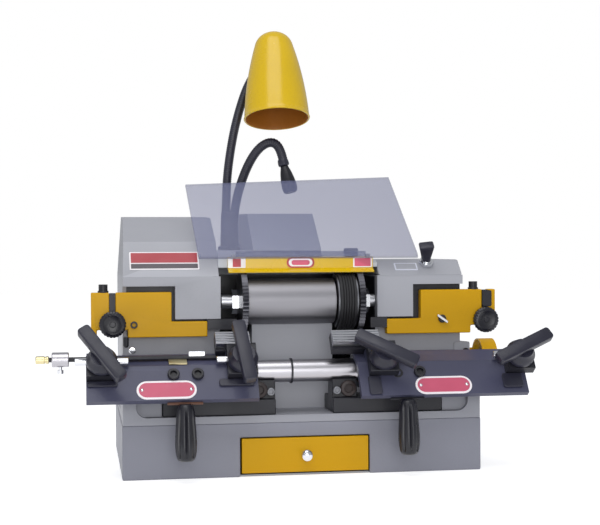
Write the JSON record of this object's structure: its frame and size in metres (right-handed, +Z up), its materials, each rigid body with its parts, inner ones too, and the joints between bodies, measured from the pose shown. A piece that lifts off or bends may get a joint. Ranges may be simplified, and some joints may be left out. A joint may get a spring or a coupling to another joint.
{
  "type": "key duplicating machine",
  "caption": "Bench key duplicating machine with rocking vise carriages on a cross shaft, belt-driven cutters, adjustable tracers, a hinged shield, a bent-neck lamp and a chip drawer.",
  "frame": {"origin": "on the underside of the base, in the middle of its width, 150 mm behind its front face", "axes": "+X to the right as the user faces the machine, +Y to the back, +Z up"},
  "size_m": [0.565, 0.3294, 0.5161],
  "materials": {
    "grey_paint": "satin hammered grey enamel",
    "sheet_steel": "plain painted steel",
    "chrome": "bright plated",
    "ground_steel": "ground bright steel",
    "cutter_steel": "hardened tool steel",
    "black_metal": "satin black",
    "pulley_metal": "turned",
    "belt_rubber": "matt",
    "brush_wire": "wire bristle",
    "yellow_paint": "gloss yellow enamel",
    "blue_grey_paint": "satin blue-grey enamel",
    "bush_bronze": "plain bearing bronze",
    "black_plastic": "moulded black",
    "clear_shield": "clear smoky sheet",
    "lamp_glass": "frosted"
  },
  "bodies": {
    "frame": {"base_box": "grey_paint", "bottom_plate": "sheet_steel", "bed_tray": "grey_paint", "body_casting": "grey_paint", "left_hood": "grey_paint", "centre_hump": "grey_paint", "right_housing": "grey_paint", "carriage_shaft": "ground_steel", "centre_collar": "black_metal", "shaft_saddles": "black_metal", "spindle_housing": "ground_steel", "spindle_bearings": "black_metal", "drive_belt": "belt_rubber", "motor": "sheet_steel", "brush_guard": "yellow_paint", "guide_bars": "black_metal", "bracket_screws": "chrome", "shield_strip": "yellow_paint", "lamp_base": "black_metal", "lamp_neck": "black_metal", "spot_neck": "black_metal", "power_inlet": "black_plastic", "tracer_bracket_left": "yellow_paint", "tracer_bracket_right": "yellow_paint"},
    "drawer": {"drawer": "yellow_paint", "drawer_knob": "chrome"},
    "rotor": {"motor_shaft": "ground_steel", "motor_pulley": "pulley_metal", "brush_wheel": "brush_wire"},
    "spindle": {"spindle_shaft": "ground_steel", "cutter_left": "cutter_steel", "cutter_right": "cutter_steel", "spindle_nuts": "chrome", "spindle_pulley": "pulley_metal"},
    "shield": {"shield": "clear_shield"},
    "lamp_head": {"lamp_shade": "yellow_paint", "lamp_bulb": "lamp_glass"},
    "spot_head": {"spot_head": "black_metal"},
    "switch": {"switch_knob": "black_plastic"},
    "gauge": {"key_gauge": "black_metal"},
    "bushes_left": {"carriage_bushes_left": "bush_bronze"},
    "carriage_left": {"carriage_left": "blue_grey_paint", "fixed_jaws_left": "black_metal", "handle_left": "black_plastic"},
    "tracer_left": {"tracer_left": "cutter_steel"},
    "tracer_knob_left": {"tracer_knob_left": "black_plastic"},
    "bushes_right": {"carriage_bushes_right": "bush_bronze"},
    "carriage_right": {"carriage_right": "blue_grey_paint", "fixed_jaws_right": "black_metal", "handle_right": "black_plastic"},
    "tracer_right": {"tracer_right": "cutter_steel"},
    "tracer_knob_right": {"tracer_knob_right": "black_plastic"},
    "jaw_left_outer": {"moving_jaw_left_outer": "black_metal"},
    "knob_left_outer": {"t_knob_left_outer": "black_plastic"},
    "jaw_left_inner": {"moving_jaw_left_inner": "ground_steel"},
    "knob_left_inner": {"t_knob_left_inner": "black_plastic"},
    "jaw_right_inner": {"moving_jaw_right_inner": "ground_steel"},
    "knob_right_inner": {"t_knob_right_inner": "black_plastic"},
    "jaw_right_outer": {"moving_jaw_right_outer": "black_metal"},
    "knob_right_outer": {"t_knob_right_outer": "black_plastic"}
  },
  "joints": [
    {"name": "drawer_slide", "type": "slide", "parent": "frame", "child": "drawer", "axis": [0, -1, 0], "range_m": [0, 0.14]},
    {"name": "rotor_spin", "type": "hinge", "parent": "frame", "child": "rotor", "pos_m": [0, 0.004, 0.112], "axis": [1, 0, 0], "continuous": true},
    {"name": "spindle_spin", "type": "hinge", "parent": "frame", "child": "spindle", "pos_m": [0, -0.088, 0.1895], "axis": [1, 0, 0], "continuous": true},
    {"name": "shield_lift", "type": "hinge", "parent": "frame", "child": "shield", "pos_m": [0, -0.0995, 0.2435], "axis": [1, 0, 0], "range_deg": [0, 100]},
    {"name": "lamp_tilt", "type": "hinge", "parent": "frame", "child": "lamp_head", "pos_m": [-0.004, 0.062, 0.475], "axis": [1, 0, 0], "range_deg": [-15, 15]},
    {"name": "spot_tilt", "type": "hinge", "parent": "frame", "child": "spot_head", "pos_m": [0.0005, -0.0034, 0.348], "axis": [1, 0, 0], "range_deg": [-15, 15]},
    {"name": "switch_turn", "type": "hinge", "parent": "frame", "child": "switch", "pos_m": [0.153, -0.0897, 0.23101], "axis": [0, -0.6585, 0.7526], "range_deg": [-45, 45]},
    {"name": "carriage_slide_left", "type": "slide", "parent": "frame", "child": "bushes_left", "axis": [1, 0, 0], "range_m": [-0.035, 0.0025]},
    {"name": "carriage_rock_left", "type": "hinge", "parent": "bushes_left", "child": "carriage_left", "pos_m": [0, -0.128, 0.1135], "axis": [-1, 0, 0], "range_deg": [0, 32]},
    {"name": "tracer_feed_left", "type": "slide", "parent": "frame", "child": "tracer_left", "axis": [0, -1, 0], "range_m": [-0.00049, 0.00049]},
    {"name": "tracer_turn_left", "type": "hinge", "parent": "frame", "child": "tracer_knob_left", "pos_m": [-0.2085, -0.1045, 0.1663], "axis": [0, -1, 0], "range_deg": [-180, 180]},
    {"name": "carriage_slide_right", "type": "slide", "parent": "frame", "child": "bushes_right", "axis": [1, 0, 0], "range_m": [-0.0025, 0.035]},
    {"name": "carriage_rock_right", "type": "hinge", "parent": "bushes_right", "child": "carriage_right", "pos_m": [0, -0.128, 0.1135], "axis": [-1, 0, 0], "range_deg": [0, 32]},
    {"name": "tracer_feed_right", "type": "slide", "parent": "frame", "child": "tracer_right", "axis": [0, -1, 0], "range_m": [-0.00049, 0.00049]},
    {"name": "tracer_turn_right", "type": "hinge", "parent": "frame", "child": "tracer_knob_right", "pos_m": [0.2195, -0.1045, 0.1663], "axis": [0, -1, 0], "range_deg": [-180, 180]},
    {"name": "gauge_swing", "type": "hinge", "parent": "carriage_left", "child": "gauge", "pos_m": [-0.15, -0.14701, 0.13158], "axis": [-1, 0, 0], "range_deg": [0, 50]},
    {"name": "jaw_open_left_outer", "type": "slide", "parent": "carriage_left", "child": "jaw_left_outer", "axis": [0, -0.8211, 0.5707], "range_m": [0, 0.00262]},
    {"name": "knob_turn_left_outer", "type": "hinge", "parent": "jaw_left_outer", "child": "knob_left_outer", "pos_m": [-0.2215, -0.15914, 0.12236], "axis": [0, -0.8211, 0.5707], "range_deg": [0, 540]},
    {"name": "jaw_open_left_inner", "type": "slide", "parent": "carriage_left", "child": "jaw_left_inner", "axis": [0, -0.8211, 0.5707], "range_m": [0, 0.00262]},
    {"name": "knob_turn_left_inner", "type": "hinge", "parent": "jaw_left_inner", "child": "knob_left_inner", "pos_m": [-0.0715, -0.15914, 0.12236], "axis": [0, -0.8211, 0.5707], "range_deg": [0, 540]},
    {"name": "jaw_open_right_inner", "type": "slide", "parent": "carriage_right", "child": "jaw_right_inner", "axis": [0, -0.8211, 0.5707], "range_m": [0, 0.00262]},
    {"name": "knob_turn_right_inner", "type": "hinge", "parent": "jaw_right_inner", "child": "knob_right_inner", "pos_m": [0.084, -0.15914, 0.12236], "axis": [0, -0.8211, 0.5707], "range_deg": [0, 540]},
    {"name": "jaw_open_right_outer", "type": "slide", "parent": "carriage_right", "child": "jaw_right_outer", "axis": [0, -0.8211, 0.5707], "range_m": [0, 0.00262]},
    {"name": "knob_turn_right_outer", "type": "hinge", "parent": "jaw_right_outer", "child": "knob_right_outer", "pos_m": [0.239, -0.15914, 0.12236], "axis": [0, -0.8211, 0.5707], "range_deg": [0, 540]}
  ],
  "couplings": [
    {"joint": "spindle_spin", "follows": "rotor_spin", "ratio": 0.7411},
    {"joint": "tracer_turn_left", "follows": "tracer_feed_left", "rad_per_m": 6283},
    {"joint": "tracer_turn_right", "follows": "tracer_feed_right", "rad_per_m": 6283},
    {"joint": "knob_turn_left_outer", "follows": "jaw_open_left_outer", "rad_per_m": 3590},
    {"joint": "knob_turn_left_inner", "follows": "jaw_open_left_inner", "rad_per_m": 3590},
    {"joint": "knob_turn_right_inner", "follows": "jaw_open_right_inner", "rad_per_m": 3590},
    {"joint": "knob_turn_right_outer", "follows": "jaw_open_right_outer", "rad_per_m": 3590}
  ]
}
